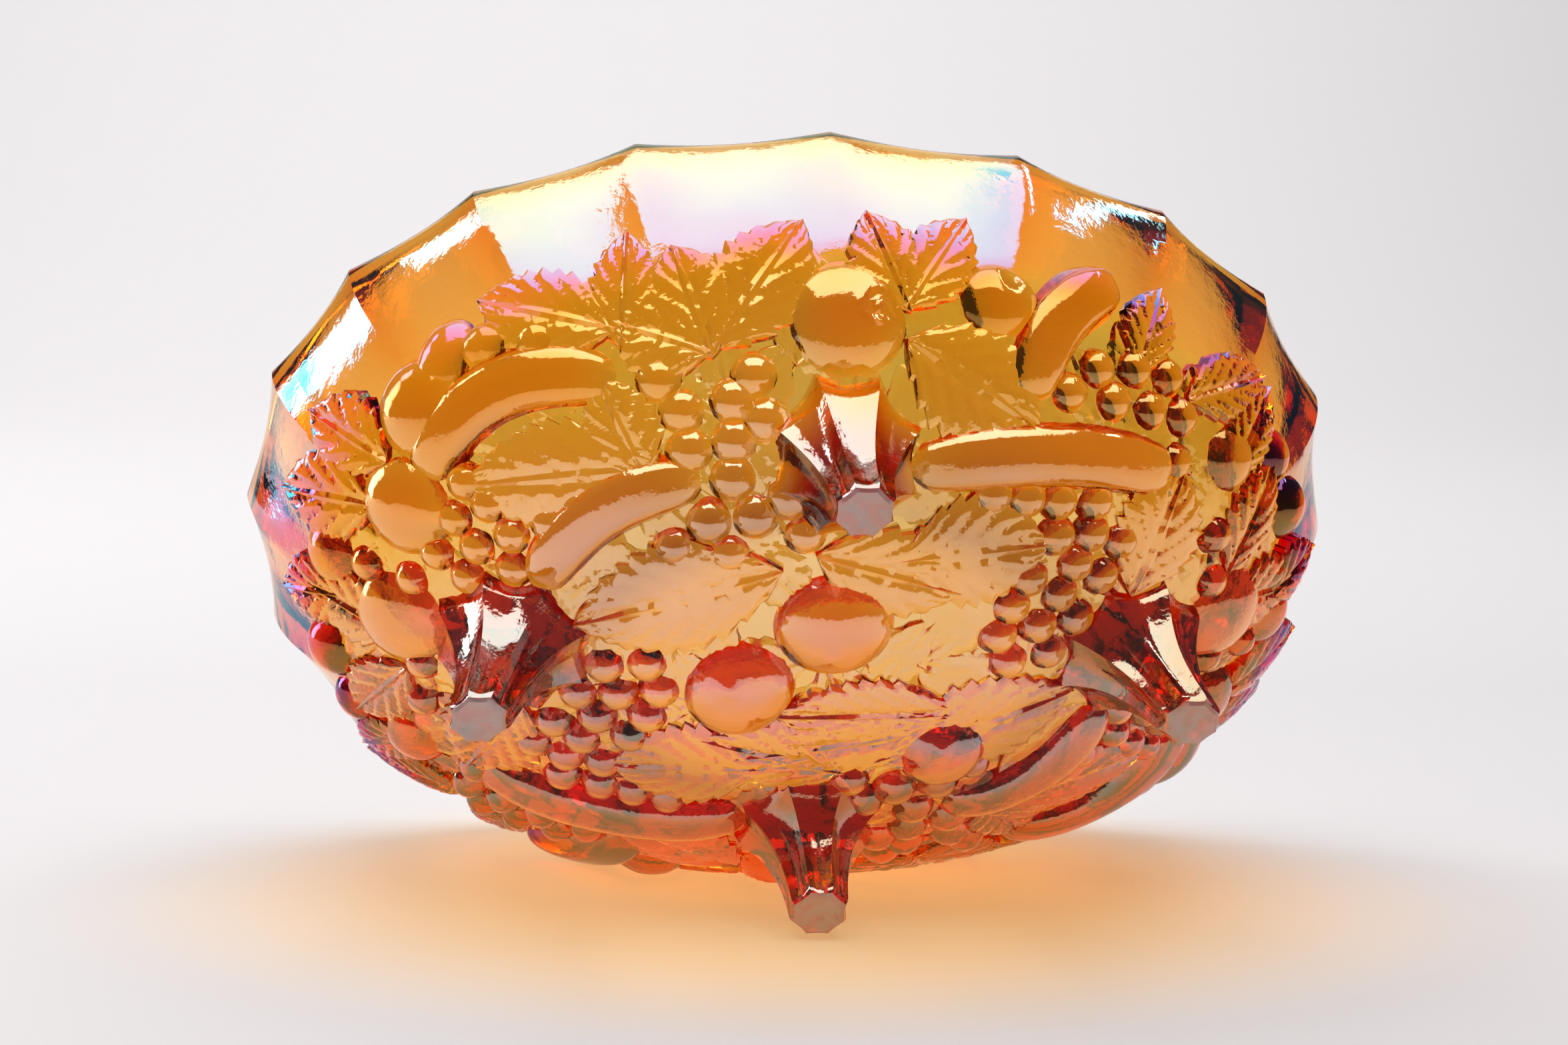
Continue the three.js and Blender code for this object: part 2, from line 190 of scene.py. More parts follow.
def is_outside(points):
    """True for points outside the plain wall."""
    plan = (np.abs(points[..., 0] / HALF_LONG) ** PLAN_POWER
            + np.abs(points[..., 1] / HALF_WIDE) ** PLAN_POWER) ** (1 / PLAN_POWER)
    lift = (points[..., 2] - BASE_HEIGHT) / (RIM_HEIGHT - BASE_HEIGHT)
    level = (1 - np.clip(lift, 0, 1)) ** (PROFILE_LIFT / 2)
    return (lift <= 0) | (plan > np.sqrt(1 - level ** 2) ** (2 / PROFILE_SPREAD))


def press_to_wall(points, out, lift):
    """Moves points along `out` until they lie on the plain wall, then raises them by `lift`."""
    low = np.full(len(points), -80 * MM)
    high = np.full(len(points), 50 * MM)
    for _ in range(26):
        middle = (low + high) / 2
        outside = is_outside(points + out * middle[:, None])
        high = np.where(outside, middle, high)
        low = np.where(outside, low, middle)
    return points + out * (high + lift)[:, None]


def unit(vector):
    return vector / np.linalg.norm(vector)


def make_foot(name):
    bearing = math.radians(FOOT_BEARING[name])
    outward = np.array([math.cos(bearing), math.sin(bearing), 0.0])
    sideways = np.cross(UP, outward)
    reach = ROOT_REACH[name]
    steps = np.array([[reach - ROOT_STEP], [reach], [reach + ROOT_STEP]]) * outward
    ladder = press_to_wall(steps + UP * BASE_HEIGHT, -UP, np.zeros(3))
    up_wall = unit(ladder[2] - ladder[0])
    root = ladder[1]
    off_wall = unit(np.cross(sideways, up_wall))
    if off_wall[2] > 0:
        off_wall = -off_wall
    tip = outward * TIP_REACH[name]

    def place(u, v):
        angle = 2 * math.pi * (u + 0.5 / FOOT_FACETS)
        across = 2 * ((u * FOOT_FACETS) % 1) - 1
        cap = np.clip(v / FOOT_FACE_END, 0, 1)
        share = np.clip((v - FOOT_FACE_END) / FOOT_SIDE_SHARE, 0, 1)
        shut = 1 - np.clip((v - FOOT_CLOSE_START) / FOOT_CLOSE_SHARE, 0, 1)
        flare = FOOT_TAPER * share + (1 - FOOT_TAPER) * share ** FOOT_FLARE
        hollow = 1 - FOOT_HOLLOW * (1 - across ** 2) * np.clip(share * 6 + 0.5, 0, 1)
        wide = (FOOT_TIP + (FOOT_ROOT_WIDE - FOOT_TIP) * flare) / 2
        tall = (FOOT_TIP + (FOOT_ROOT_TALL - FOOT_TIP) * flare) / 2
        edge = 1 - FOOT_EDGE / (FOOT_TIP / 2) * np.clip(1 - share * 14, 0, 1) ** 2
        size = hollow * edge * np.where(v < FOOT_FACE_END, cap, 1) * shut
        radial = outward + (up_wall - outward) * (share ** 2)[:, None]
        radial /= np.linalg.norm(radial, axis=1)[:, None]
        centre = tip + (root - tip) * share[:, None]
        points = centre + (size * wide * np.cos(angle))[:, None] * sideways
        points += (size * tall * np.sin(angle))[:, None] * radial
        points[:, 2] -= np.where(v < FOOT_FACE_END, FOOT_FACE_DOME * (cap ** 2 - 1), 0)
        seated = press_to_wall(points, off_wall, np.full(len(points), -FOOT_SINK))
        blend = np.clip((share - 0.9) / 0.1, 0, 1)[:, None]
        return points * (1 - blend) + seated * blend

    return lay_sheet(name + "_glass", FOOT_FACETS * FOOT_FACET_COLUMNS, FOOT_ROWS, place)


moulded = [make_foot(name) for name in FOOT_BEARING]

# ---- Fruits ----
# Round fruits of the pressed relief: pears, peaches, apples and plums that stand proud of the
# wall as low domes. Each is a ball made flat-backed, shaped, and laid on the wall at its place.
RELIEF_SINK = 2 * MM
RELIEF_BACK = 4.5 * MM
BOTH_SIDES = (0, 180)


def lay_on_wall(piece, around, rise, turn=0.0):
    """Lays a piece modelled flat at the origin on the wall. `around` is in degrees from the middle
    of the front towards +X, `rise` is 0 in the middle of the bottom and 1 at the rim, and `turn`
    swings the piece's +X up from level, as seen from outside."""
    bearing = np.array([math.radians(around - 90)])
    step = 1e-3

    def wall(b, r):
        return plain_wall(b, np.array([r]), HALF_LONG, HALF_WIDE, BASE_HEIGHT)[0]

    level = wall(bearing + step, rise) - wall(bearing - step, rise)
    slope = wall(bearing, rise + step) - wall(bearing, rise - step)
    out = unit(np.cross(level, slope))
    level = unit(level)
    swing = math.radians(turn)
    along = level * math.cos(swing) + np.cross(out, level) * math.sin(swing)
    side = np.cross(out, along)
    flat = np.empty(len(piece.data.vertices) * 3)
    piece.data.vertices.foreach_get("co", flat)
    flat = flat.reshape(-1, 3)
    start = wall(bearing, rise) + flat[:, :1] * along + flat[:, 1:2] * side
    laid = press_to_wall(start, out, np.maximum(flat[:, 2], -RELIEF_BACK))
    piece.data.vertices.foreach_set("co", laid.ravel())
    piece.data.update()
    moulded.append(piece)
    return piece


def ball(name, across, tall, proud, segments=40):
    """A ball of glass, sunk so that its crest stands `proud` of the wall."""
    bpy.ops.object.select_all(action="DESELECT")
    bpy.ops.mesh.primitive_uv_sphere_add(segments=segments, ring_count=segments * 5 // 8, radius=1)
    piece = bpy.context.object
    piece.name = name
    bpy.ops.object.mode_set(mode="EDIT")
    bpy.ops.mesh.select_all(action="SELECT")
    bpy.ops.transform.resize(value=(across / 2, tall / 2, proud + RELIEF_SINK))
    bpy.ops.transform.translate(value=(0, 0, -RELIEF_SINK))
    bpy.ops.object.mode_set(mode="OBJECT")
    return piece


def shape_face(piece, change):
    """Raises or lowers the crest of a piece by change(x, y), in millimetres."""
    for vertex in piece.data.vertices:
        if vertex.co.z > -RELIEF_SINK:
            vertex.co.z += change(vertex.co.x / MM, vertex.co.y / MM) * MM


def bell(distance, width):
    return math.exp(-(distance / width) ** 2)


def peach_face(x, y):
    eye = math.hypot(x - 7.5, y - 2.5)
    return 0.7 * bell(eye - 4.6, 1.2) - 0.7 * bell(eye - 2.8, 1.1) + 0.9 * bell(eye, 1.3)


def plum_face(x, y):
    return 0.8 * bell(math.hypot(x + 1, y + 6), 2.4)


def apple_face(x, y):
    return -2.2 * bell(math.hypot(x - 3, y - 6), 3.5)


FRUITS = (
    # name, across, tall, proud, around, rise, face
    ("peach", 32, 32, 7.5, 0, 0.51, peach_face),
    ("apple", 23, 22, 6.5, 17, 0.57, apple_face),
    ("side_apple", 27, 29, 7, -71, 0.5, None),
    ("end_apple", 29, 30, 7, 89, 0.47, None),
    ("plum", 20, 19, 5.5, 61, 0.54, None),
    ("small_plum", 16, 15, 4.5, 67, 0.63, None),
    ("high_plum", 18, 19, 5, 77, 0.63, None),
    ("end_plum", 20, 20, 5, 94, 0.6, None),
)
for fruit, across, tall, proud, around, rise, face in FRUITS:
    for side in BOTH_SIDES:
        piece = ball(f"{fruit}_{side}", across * MM, tall * MM, proud * MM)
        if face:
            shape_face(piece, face)
        lay_on_wall(piece, around + side, rise)

for side in BOTH_SIDES:
    belly = ball(f"pear_belly_{side}", 29 * MM, 27 * MM, 7 * MM)
    lay_on_wall(belly, -56 + side, 0.575)
    neck = ball(f"pear_neck_{side}", 24 * MM, 17 * MM, 5.5 * MM)
    lay_on_wall(neck, -49 + side, 0.615, 40)

BOTTOM_PLUM_PROUD = 9
BOTTOM_PLUMS = (
    # across, tall, around, rise
    (32, 30, 0, 0.045),
    (31, 29, -112, 0.07),
    (26, 26, 139, 0.16),
)
for number, (across, tall, around, rise) in enumerate(BOTTOM_PLUMS):
    piece = ball(f"bottom_plum_{number}", across * MM, tall * MM, BOTTOM_PLUM_PROUD * MM)
    shape_face(piece, plum_face)
    lay_on_wall(piece, around, rise, -around if number < 2 else 0)

# ---- Bananas ----
# Four long curved fruits a side, 17 to 19 mm thick, with five blunt edges along them and a short
# stub at each end. Each is a sheet rolled into a bent tube and pressed on the wall.
BANANA_EDGES = 5
BANANA_COLUMNS = 30
BANANA_ROWS = 44


def make_banana(name, chord, bend, thick, proud):
    def place(u, v):
        angle = 2 * math.pi * u
        reach = np.abs(2 * v - 1)
        body = np.sqrt(np.clip(1 - reach ** 4.2, 0, 1))
        stub = 0.2 * (reach > 0.9) * np.sqrt(np.clip(1 - ((reach - 0.9) / 0.1) ** 6, 0, 1))
        fat = np.maximum(body * np.clip((0.97 - reach) / 0.12, 0, 1) ** 0.35, stub)
        edge = 1 + 0.045 * np.cos(BANANA_EDGES * angle + math.pi / 2)
        x = (v - 0.5) * chord
        y = bend * (1 - (2 * v - 1) ** 2) - bend / 2
        slope = -4 * bend * (2 * v - 1) / chord
        long = np.sqrt(1 + slope ** 2)
        half = thick / 2 * fat * edge * np.cos(angle)
        height = (proud + RELIEF_SINK) * fat * edge * np.sin(angle) - RELIEF_SINK
        return np.stack([x - half * slope / long, y + half / long, height], -1)

    return lay_sheet(name, BANANA_COLUMNS, BANANA_ROWS, place)


BANANAS = (
    # name, chord, bend, thick, proud, around, rise, turn
    ("high_banana", 46, -8, 18, 7, 27, 0.55, -114),
    ("long_banana", 80, 6, 19, 7.5, 36, 0.34, 24),
    ("broad_banana", 62, 13, 19, 7.5, -47, 0.485, -6),
    ("low_banana", 56, 9, 17.5, 7, -50, 0.275, -2),
)
for fruit, chord, bend, thick, proud, around, rise, turn in BANANAS:
    for side in BOTH_SIDES:
        piece = make_banana(f"{fruit}_{side}", chord * MM, bend * MM, thick * MM, proud * MM)
        lay_on_wall(piece, around + side, rise, turn)

# ---- Grapes ----
# Bunches of grapes, each berry a small dome 11 to 14 mm across that touches or nears the next.
# Every berry is a ball of its own, laid on the wall at its place in the bunch.
BERRY_PROUD = 5.2 * MM
BERRY_SEGMENTS = 20
BUNCHES = {
    # berry size: places as (around, rise)
    13.5: ((-25, 0.44), (-12, 0.42), (-24, 0.385), (-16, 0.385), (-26, 0.325), (-18, 0.325),
           (-12, 0.35), (-21, 0.27), (-31, 0.22), (-20, 0.21), (-11, 0.23), (-43, 0.6),
           (-37, 0.565)),
    12: ((33, 0.51), (38, 0.54), (43, 0.56), (31, 0.455), (38, 0.475), (44, 0.495), (49, 0.52),
         (30, 0.27), (37, 0.285), (43, 0.305), (49, 0.335), (50, 0.265), (55, 0.3), (61, 0.325),
         (60, 0.26), (67, 0.225), (67, 0.28), (57, 0.205), (64, 0.17), (76, 0.19), (77, 0.235),
         (76, 0.145), (87, 0.2), (89, 0.155), (-32, 0.17), (-44, 0.6), (-9, 0.175)),
    11.5: ((-68, 0.43), (-62, 0.405), (-65, 0.355), (-58, 0.33), (-76, 0.43), (-71, 0.385),
           (-72, 0.33), (-66, 0.3), (-83, 0.455), (-51, 0.32), (-61, 0.45), (-43, 0.21),
           (-44, 0.54), (-78, 0.38), (72, 0.46), (81, 0.44), (-84, 0.53), (54, 0.46)),
}
for berry, places in BUNCHES.items():
    for number, (around, rise) in enumerate(places):
        for side in BOTH_SIDES:
            piece = ball(f"grape_{berry}_{number}_{side}", berry * MM, berry * MM,
                         BERRY_PROUD, BERRY_SEGMENTS)
            lay_on_wall(piece, around + side, rise)

# ---- Leaves ----
# Saw-edged leaves fill the ground between the fruits. Each is cut from a flat sheet, quilted
# between its veins, given its thickness by extruding it back, and laid on the wall.
LEAF_PROUD = 3.4
LEAF_RIM = 1.3
LEAF_SQUARES = (44, 18)
LEAF_QUILT = 0.7
LEAF_GROOVE = 0.7
LEAF_SPINE = 1.1
LEAF_DEPTH = 20 * MM


def make_leaf(name, length, width, veins, squares=LEAF_SQUARES, proud=LEAF_PROUD):
    """A leaf in millimetres along +X, from its stalk to its tip."""

    def place(u, v):
        side = 2 * v - 1
        saw = (u * veins * 1.5 + 0.12 * np.abs(side)) % 1
        reach = np.sin(np.pi * np.clip(u, 0, 1) ** 0.78) ** 0.85
        tooth = 1 + 0.2 * (saw - 0.5) * np.abs(side) ** 3
        x = (u - 0.5) * length + 0.1 * length * np.abs(side) * reach
        y = side * reach * width / 2 * tooth
        vein = ((u - 0.32 * np.abs(side)) * veins) % 1
        quilt = 1 - np.abs(2 * vein - 1) ** 4
        spine = np.exp(-(y / 0.6) ** 2)
        groove = np.exp(-(y / 1.8) ** 2)
        height = proud - LEAF_RIM * (1 - (1 - side ** 2) ** 0.5)
        height = height + LEAF_QUILT * quilt * (1 - groove) * (1 - 0.4 * side ** 4)
        height = height - LEAF_GROOVE * groove + LEAF_SPINE * spine
        return np.stack([x * MM, y * MM, height * MM], -1)

    leaf = lay_sheet(name, *squares, place)
    bpy.ops.object.mode_set(mode="EDIT")
    bpy.ops.mesh.select_all(action="SELECT")
    bpy.ops.mesh.extrude_region_move(TRANSFORM_OT_translate={"value": (0, 0, -LEAF_DEPTH)})
    bpy.ops.mesh.select_all(action="SELECT")
    bpy.ops.mesh.normals_make_consistent(inside=False)
    bpy.ops.object.mode_set(mode="OBJECT")
    return leaf


LEAVES = (
    # length, width, veins, around, rise, turn
    (38, 24, 6, -34, 0.6, 146),
    (32, 18, 5, -24, 0.6, 76),
    (26, 24, 5, -22, 0.505, 150),
    (32, 26, 5, -17, 0.555, 100),
    (42, 26, 6, -9, 0.575, 52),
    (30, 20, 5, 4, 0.615, 112),
    (32, 20, 5, 9, 0.62, 60),
    (42, 30, 6, 17, 0.42, -23),
    (32, 18, 6, 52, 0.62, 50),
    (26, 16, 5, 37, 0.615, 90),
    (30, 18, 6, 60, 0.6, 100),
    (40, 30, 6, 37, 0.19, 33),
    (36, 28, 6, 64, 0.375, 123),
    (32, 20, 5, 73, 0.53, 125),
    (26, 20, 5, 88, 0.63, 107),
    (30, 22, 5, -67, 0.645, 104),
    (34, 24, 5, -77, 0.63, 115),
    (52, 28, 7, -48, 0.365, 152),
    (28, 20, 5, -34, 0.385, 95),
    (56, 30, 7, -58, 0.155, 150),
    (40, 24, 5, 17, 0.125, -4),
    (30, 22, 5, -92, 0.55, 80),
)
for number, (length, width, veins, around, rise, turn) in enumerate(LEAVES):
    for side in BOTH_SIDES:
        piece = make_leaf(f"leaf_{number}_{side}", length, width, veins)
        lay_on_wall(piece, around + side, rise, turn)

BOTTOM_LEAVES = (
    # length, width, veins, around, rise, turn
    (50, 22, 7, 150, 0.06, -22),
    (66, 22, 8, 166, 0.095, 2),
)
for number, (length, width, veins, around, rise, turn) in enumerate(BOTTOM_LEAVES):
    lay_on_wall(make_leaf(f"bottom_leaf_{number}", length, width, veins), around, rise, turn)

# ---- Ground ----
# Between the fruits the wall carries small low leaves, so that less plain glass shows below the
# panels. They are scattered evenly, turned at random, and the larger forms cover most of them.
GROUND_ROWS = ((0.05, 4), (0.12, 9), (0.19, 12), (0.26, 16), (0.33, 18), (0.4, 20), (0.47, 22),
               (0.54, 24))
GROUND_PROUD = 1.2
GROUND_WIDTH = 0.62
GROUND_VEINS = 4
GROUND_SQUARES = (20, 10)
scatter = np.random.default_rng(7)
for row, (rise, count) in enumerate(GROUND_ROWS):
    for number in range(count):
        around = (number + 0.5 * (row % 2) + scatter.uniform(-0.2, 0.2)) * 360 / count
        length = scatter.uniform(26, 34)
        leaf = make_leaf(f"ground_{row}_{number}", length, GROUND_WIDTH * length, GROUND_VEINS,
                         GROUND_SQUARES, GROUND_PROUD)
        lay_on_wall(leaf, around, rise, scatter.uniform(0, 360))

# ---- The pressing ----
# All of this is one piece of glass, so wall, feet and relief are joined into a single body, with
# crisp meetings where one form runs into the next. Each face keeps a mark if it is on the inside.
CREASE_ANGLE = 32
press = bpy.data.collections.new("pressed_forms")
bpy.context.scene.collection.children.link(press)
for piece in moulded:
    for holder in list(piece.users_collection):
        holder.objects.unlink(piece)
    press.objects.link(piece)
bpy.ops.object.select_all(action="DESELECT")
bowl.select_set(True)
bpy.context.view_layer.objects.active = bowl
union = bowl.modifiers.new("pressing", "BOOLEAN")
union.operation = "UNION"
union.operand_type = "COLLECTION"
union.collection = press
union.solver = "MANIFOLD"
bpy.ops.object.modifier_apply(modifier=union.name)
for piece in list(press.objects):
    bpy.data.objects.remove(piece)
bpy.data.collections.remove(press)
bpy.ops.object.mode_set(mode="EDIT")
bpy.ops.mesh.select_all(action="SELECT")
bpy.ops.mesh.quads_convert_to_tris()
bpy.ops.object.mode_set(mode="OBJECT")
bpy.ops.object.shade_smooth_by_angle(angle=math.radians(CREASE_ANGLE))
bare = bowl.data.attributes.new("bare", "FLOAT", "FACE")
for number, face in enumerate(bowl.data.polygons):
    bare.data[number].value = face.material_index
    face.material_index = 0
bowl.data.materials.pop(index=1)

# ---- Carnival glass ----
# Amber glass that turns deep red-brown where it is thick. The outside has a sprayed metallic
# skin whose thickness wanders, so that its reflections run from yellow through blue to pink.
# The inside is bare.
glass.use_nodes = True
nodes, links = glass.node_tree.nodes, glass.node_tree.links
shader = nodes["Principled BSDF"]
shader.inputs["Base Color"].default_value = (1.0, 0.97, 0.9, 1)
shader.inputs["Transmission Weight"].default_value = 1
shader.inputs["IOR"].default_value = 1.52
shader.inputs["Thin Film IOR"].default_value = 2.3
absorb = nodes.new("ShaderNodeVolumeAbsorption")
absorb.inputs["Color"].default_value = (0.988, 0.765, 0.03, 1)
absorb.inputs["Density"].default_value = 440
links.new(absorb.outputs["Volume"], nodes["Material Output"].inputs["Volume"])

place = nodes.new("ShaderNodeTexCoord")
split = nodes.new("ShaderNodeSeparateXYZ")
links.new(place.outputs["Object"], split.inputs["Vector"])


def noise(scale, detail=2.0, roughness=0.5):
    node = nodes.new("ShaderNodeTexNoise")
    node.inputs["Scale"].default_value = scale
    node.inputs["Detail"].default_value = detail
    node.inputs["Roughness"].default_value = roughness
    links.new(place.outputs["Object"], node.inputs["Vector"])
    return node.outputs["Fac"]


def spread(value, low, high, to_low, to_high):
    node = nodes.new("ShaderNodeMapRange")
    for name, number in (("From Min", low), ("From Max", high),
                         ("To Min", to_low), ("To Max", to_high)):
        node.inputs[name].default_value = number
    links.new(value, node.inputs["Value"])
    return node.outputs["Result"]


def combine(operation, first, second):
    node = nodes.new("ShaderNodeMath")
    node.operation = operation
    for socket, value in zip(node.inputs, (first, second)):
        if isinstance(value, (int, float)):
            socket.default_value = value
        else:
            links.new(value, socket)
    return node.outputs["Value"]


FILM_BANDS = (
    # low and high in millimetres above the table, gain in nanometres
    (26, 58, 22),
    (58, 72, 52),
    (72, 94, 18),
    (94, 110, 32),
)
bare_side = nodes.new("ShaderNodeAttribute")
bare_side.attribute_name = "bare"
film = spread(noise(16, 3), 0.3, 0.7, 57, 79)
for low, high, gain in FILM_BANDS:
    film = combine("ADD", film, spread(split.outputs["Z"], low * MM, high * MM, 0, gain))
coated = combine("SUBTRACT", 1, bare_side.outputs["Fac"])
links.new(combine("MULTIPLY", film, coated), shader.inputs["Thin Film Thickness"])

worn = spread(split.outputs["Z"], 0.4 * MM, 0.9 * MM, 1, 0)


def tint(factor, first, second):
    node = nodes.new("ShaderNodeMix")
    node.data_type = "RGBA"
    for name, colour in (("A", first), ("B", second)):
        if isinstance(colour, tuple):
            node.inputs[name].default_value = colour
        else:
            links.new(colour, node.inputs[name])
    links.new(factor, node.inputs["Factor"])
    return node.outputs["Result"]


skin = tint(spread(split.outputs["Z"], 58 * MM, 80 * MM, 0, 1),
            (1.0, 0.97, 0.88, 1), (0.97, 0.72, 0.34, 1))
reach_x = combine("DIVIDE", split.outputs["X"], ROOT_REACH["foot_right"])
reach_y = combine("DIVIDE", split.outputs["Y"], ROOT_REACH["foot_front"])
reach = combine("ADD", combine("MULTIPLY", reach_x, reach_x), combine("MULTIPLY", reach_y, reach_y))
footing = combine("MULTIPLY", spread(reach, 0.4, 0.62, 0, 1),
                  spread(split.outputs["Z"], 24 * MM, 36 * MM, 1, 0))
skin = tint(footing, skin, (0.22, 0.07, 0.03, 1))
skin = tint(coated, (1, 1, 1, 1), tint(worn, skin, (0.42, 0.3, 0.34, 1)))
links.new(skin, shader.inputs["Base Color"])
patches = spread(noise(260, 2), 0.4, 0.6, 0.35, 0.75)
links.new(combine("SUBTRACT", 1, combine("MULTIPLY", worn, patches)),
          shader.inputs["Transmission Weight"])
polish = spread(noise(60, 4), 0.3, 0.7, 0.03, 0.07)
links.new(combine("ADD", polish, combine("MULTIPLY", worn, 0.4)), shader.inputs["Roughness"])

ripple = nodes.new("ShaderNodeBump")
ripple.inputs["Strength"].default_value = 0.5
ripple.inputs["Distance"].default_value = 0.5 * MM
links.new(noise(110, 3, 0.6), ripple.inputs["Height"])
stipple = nodes.new("ShaderNodeBump")
stipple.inputs["Strength"].default_value = 0.3
stipple.inputs["Distance"].default_value = 0.08 * MM
links.new(noise(1400, 2), stipple.inputs["Height"])
links.new(ripple.outputs["Normal"], stipple.inputs["Normal"])
links.new(stipple.outputs["Normal"], shader.inputs["Normal"])

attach(bowl, "root")
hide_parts(*sorted(frame["nodes"]))

# ---- Studio ----
# A pale sweep that the bowl leans on by one foot and the far rim, a large softbox over it, a strip
# and a spot of light at its left and a strip at its right. A level floor, seen only from above,
# carries the bowl in other views.
PAPER = (0.82, 0.795, 0.8)
PAPER_ROUGHNESS = 0.8
lean_foot = Vector((0, TIP_REACH["foot_back"] + FOOT_TIP / 2, 0))
lean_rim = Vector((0, HALF_WIDE, RIM_HEIGHT))
depth = (lean_rim - lean_foot).normalized()
across = Vector((1, 0, 0))
above = across.cross(depth).normalized()
if above.y > 0:
    above = -above


def one_sided(name, colour, roughness, glow):
    """A plain matt surface, evenly lit by its own glow, that is clear from behind."""
    paint = bpy.data.materials.new(name)
    paint.use_nodes = True
    tree = paint.node_tree
    matt = tree.nodes["Principled BSDF"]
    matt.inputs["Base Color"].default_value = (*colour, 1)
    matt.inputs["Roughness"].default_value = roughness
    matt.inputs["Emission Color"].default_value = (*colour, 1)
    matt.inputs["Emission Strength"].default_value = glow
    clear = tree.nodes.new("ShaderNodeBsdfTransparent")
    mix = tree.nodes.new("ShaderNodeMixShader")
    side = tree.nodes.new("ShaderNodeNewGeometry")
    tree.links.new(side.outputs["Backfacing"], mix.inputs["Fac"])
    tree.links.new(matt.outputs["BSDF"], mix.inputs[1])
    tree.links.new(clear.outputs["BSDF"], mix.inputs[2])
    tree.links.new(mix.outputs["Shader"], tree.nodes["Material Output"].inputs["Surface"])
    return paint


def sweep_section(u, v):
    """Level floor towards the camera, a wide bend behind the bowl, then a rising wall."""
    front, bend_at, radius, height = 0.7, 0.9, 0.7, 2.4
    run = v * (front + bend_at + radius * math.pi / 2 + height)
    turn = np.clip((run - front - bend_at) / radius, 0, math.pi / 2)
    wall = np.clip(run - front - bend_at - radius * math.pi / 2, 0, None)
    back = np.minimum(run - front, bend_at) + radius * np.sin(turn)
    rise = radius * (1 - np.cos(turn)) + wall
    side = (u - 0.5) * 2
    spot = lean_foot + (lean_rim - lean_foot) / 2
    return (np.array(spot) + side[:, None] * np.array(across)
            + back[:, None] * np.array(depth) + rise[:, None] * np.array(above))


sweep = lay_sheet("studio_sweep", 8, 80, sweep_section)
bpy.ops.object.shade_smooth()
sweep.data.update()
middle = sweep.data.polygons[0]
if middle.normal.dot(above) < 0:
    sweep.data.flip_normals()
paper = one_sided("pale_sweep", PAPER, PAPER_ROUGHNESS, 0.12)
sweep.data.materials.append(paper)

# Painted light: an amber pool is painted into the sweep's colour and glow round the foot that the
# bowl leans on, standing in for the light that the glass warms as it falls through it.
knots, wires = paper.node_tree.nodes, paper.node_tree.links
where = knots.new("ShaderNodeTexCoord")
shift = knots.new("ShaderNodeMapping")
centre = lean_foot + depth * 30 * MM
shift.vector_type = "TEXTURE"
shift.inputs["Location"].default_value = centre
shift.inputs["Scale"].default_value = (0.21, 0.12, 0.12)
painted_glow_ball = knots.new("ShaderNodeTexGradient")
painted_glow_ball.gradient_type = "SPHERICAL"
painted_glow_fade = knots.new("ShaderNodeMapRange")
painted_glow_fade.interpolation_type = "SMOOTHSTEP"
painted_glow_fade.inputs["From Max"].default_value = 0.7
painted_glow_tint = knots.new("ShaderNodeMix")
painted_glow_tint.data_type = "RGBA"
painted_glow_tint.inputs["A"].default_value = (*PAPER, 1)
painted_glow_tint.inputs["B"].default_value = (1.0, 0.8, 0.54, 1)
wires.new(where.outputs["Object"], shift.inputs["Vector"])
wires.new(shift.outputs["Vector"], painted_glow_ball.inputs["Vector"])
wires.new(painted_glow_ball.outputs["Fac"], painted_glow_fade.inputs["Value"])
wires.new(painted_glow_fade.outputs["Result"], painted_glow_tint.inputs["Factor"])
wires.new(painted_glow_tint.outputs["Result"], knots["Principled BSDF"].inputs["Base Color"])
# Painted light: the same amber pool glows brighter than the rest of the sweep.
painted_glow_emission = knots.new("ShaderNodeMix")
painted_glow_emission.data_type = "RGBA"
painted_glow_emission.inputs["A"].default_value = (*PAPER, 1)
painted_glow_emission.inputs["B"].default_value = (3.4, 2.1, 0.9, 1)
wires.new(painted_glow_fade.outputs["Result"], painted_glow_emission.inputs["Factor"])
wires.new(painted_glow_emission.outputs["Result"], knots["Principled BSDF"].inputs["Emission Color"])

bpy.ops.object.select_all(action="DESELECT")
bpy.ops.mesh.primitive_grid_add(x_subdivisions=4, y_subdivisions=4, size=6)
level_floor = bpy.context.object
level_floor.name = "level_floor"
level_floor.data.materials.append(one_sided("pale_floor", PAPER, PAPER_ROUGHNESS, 0.4))
level_floor.visible_shadow = False
level_floor.visible_diffuse = False
level_floor.visible_glossy = False
level_floor.visible_transmission = False


def softbox(name, bearing, height, distance, size, power):
    """A square lamp aimed at the bowl: bearing from the camera's side, height in degrees."""
    turn, lift = math.radians(bearing), math.radians(height)
    flat = across * math.sin(turn) - depth * math.cos(turn)
    direction = flat * math.cos(lift) + above * math.sin(lift)
    lamp = bpy.data.lights.new(name, "AREA")
    lamp.shape = "RECTANGLE"
    lamp.size, lamp.size_y = size
    lamp.energy = power
    holder = bpy.data.objects.new(name, lamp)
    bpy.context.scene.collection.objects.link(holder)
    holder.location = Vector((0, 0, 60 * MM)) + direction * distance
    holder.rotation_euler = direction.to_track_quat("Z", "Y").to_euler()
    return holder


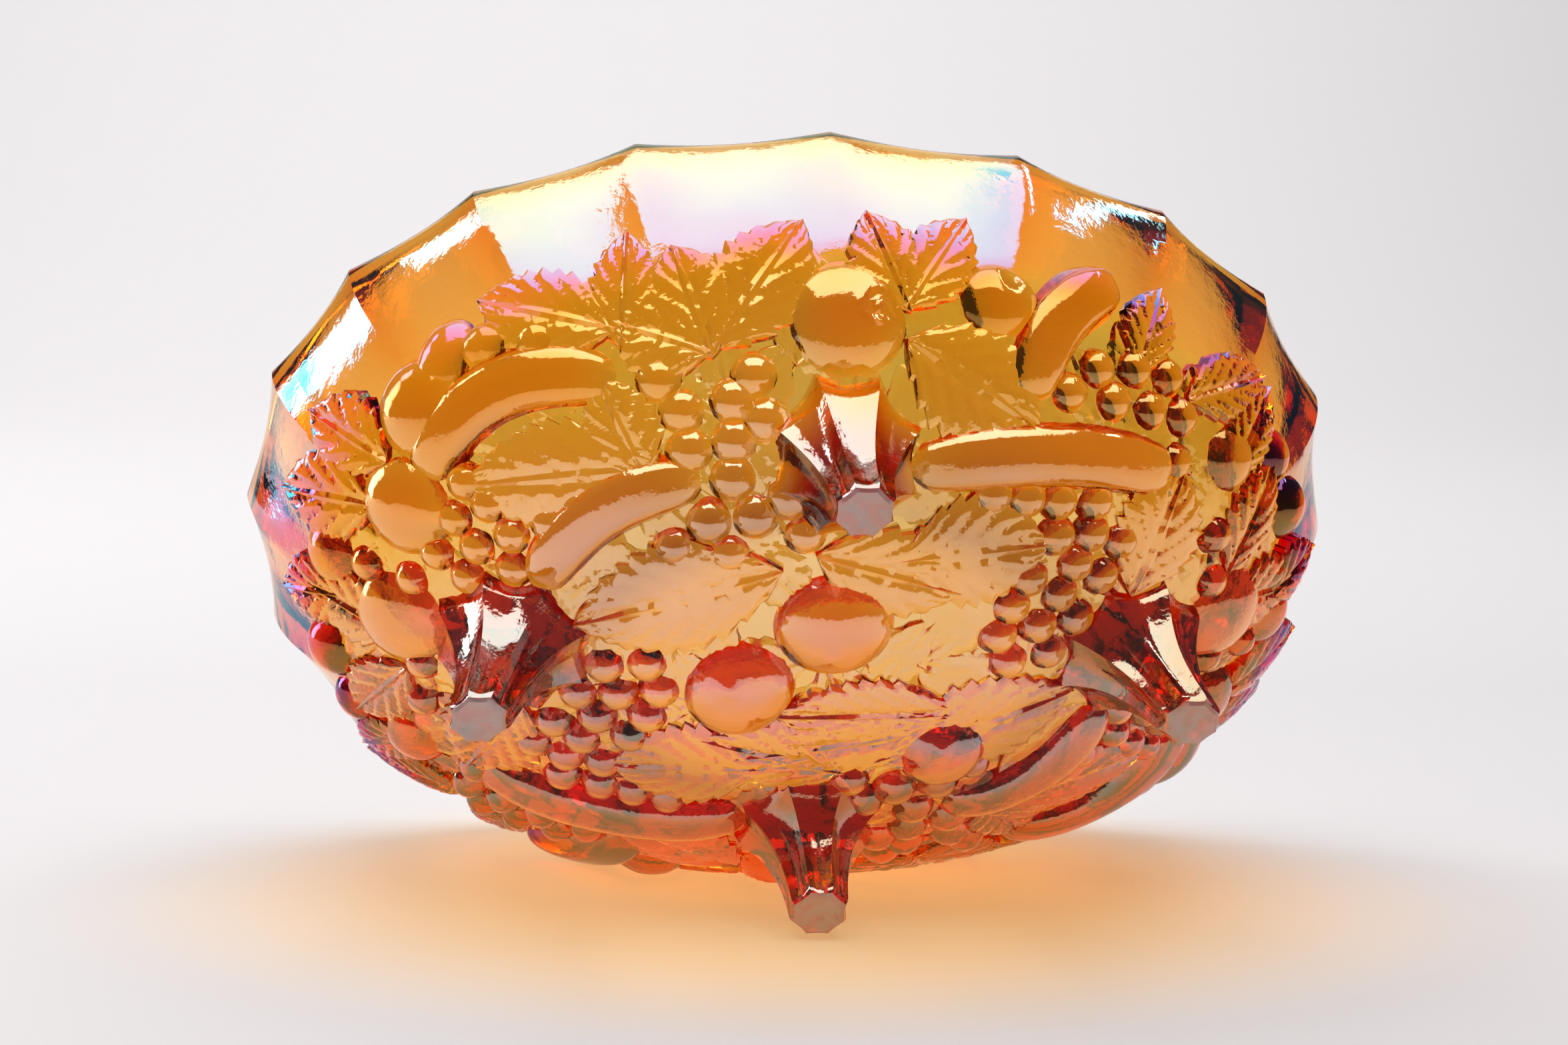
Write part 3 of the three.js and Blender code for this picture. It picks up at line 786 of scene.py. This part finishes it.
softbox("overhead_softbox", 180, 88, 1.1, (1.3, 1.1), 10.5)
softbox("left_strip", -114, 12, 1.2, (0.7, 0.36), 3.6)
softbox("left_spot", -116, 37, 1.2, (0.22, 0.22), 0.7)
softbox("right_strip", 121, 48, 1.2, (0.05, 0.5), 0.5)

# A wash for the wall of the sweep, from a lamp over the bowl that faces away from it.
wash = softbox("backdrop_wash", 0, 4, 1.0, (2.2, 0.6), 20)
wash.location = lean_foot + above * 1.5 + depth * 0.4
wash.visible_camera = False
wash.visible_glossy = False
wash.visible_transmission = False

world = bpy.data.worlds.new("studio_air")
bpy.context.scene.world = world
world.use_nodes = True
sky, air = world.node_tree.nodes, world.node_tree.links
lit = sky["Background"]
lit.inputs["Color"].default_value = (0.9, 0.92, 1, 1)
lit.inputs["Strength"].default_value = 0.05
seen = sky.new("ShaderNodeBackground")
seen.inputs["Color"].default_value = (0.86, 0.84, 0.84, 1)
seen.inputs["Strength"].default_value = 1
ray = sky.new("ShaderNodeLightPath")
choose = sky.new("ShaderNodeMixShader")
air.new(ray.outputs["Is Camera Ray"], choose.inputs["Fac"])
air.new(lit.outputs["Background"], choose.inputs[1])
air.new(seen.outputs["Background"], choose.inputs[2])
air.new(choose.outputs["Shader"], sky["World Output"].inputs["Surface"])
bpy.context.scene.view_settings.view_transform = "Standard"
bpy.context.scene.view_settings.exposure = 0.18

# ---- Camera ----
# A long lens looks at the underside of the bowl, slightly down on the sweep that it leans on.
LENS = 67.9
eye = Vector((-115.6, -429.0, -599.0)) * MM
look = Vector((0.1352, 0.5207, 0.8429)).normalized()
top = Vector((-0.0132, -0.8497, 0.5271))
right = look.cross(top).normalized()
top = right.cross(look)
camera = bpy.data.objects.new("camera", bpy.data.cameras.new("camera"))
camera.data.lens = LENS
camera.data.clip_start = 0.01
camera.data.clip_end = 30
bpy.context.scene.collection.objects.link(camera)
camera.matrix_world = Matrix((
    (right.x, top.x, -look.x, eye.x),
    (right.y, top.y, -look.y, eye.y),
    (right.z, top.z, -look.z, eye.z),
    (0, 0, 0, 1),
))
bpy.context.scene.camera = camera
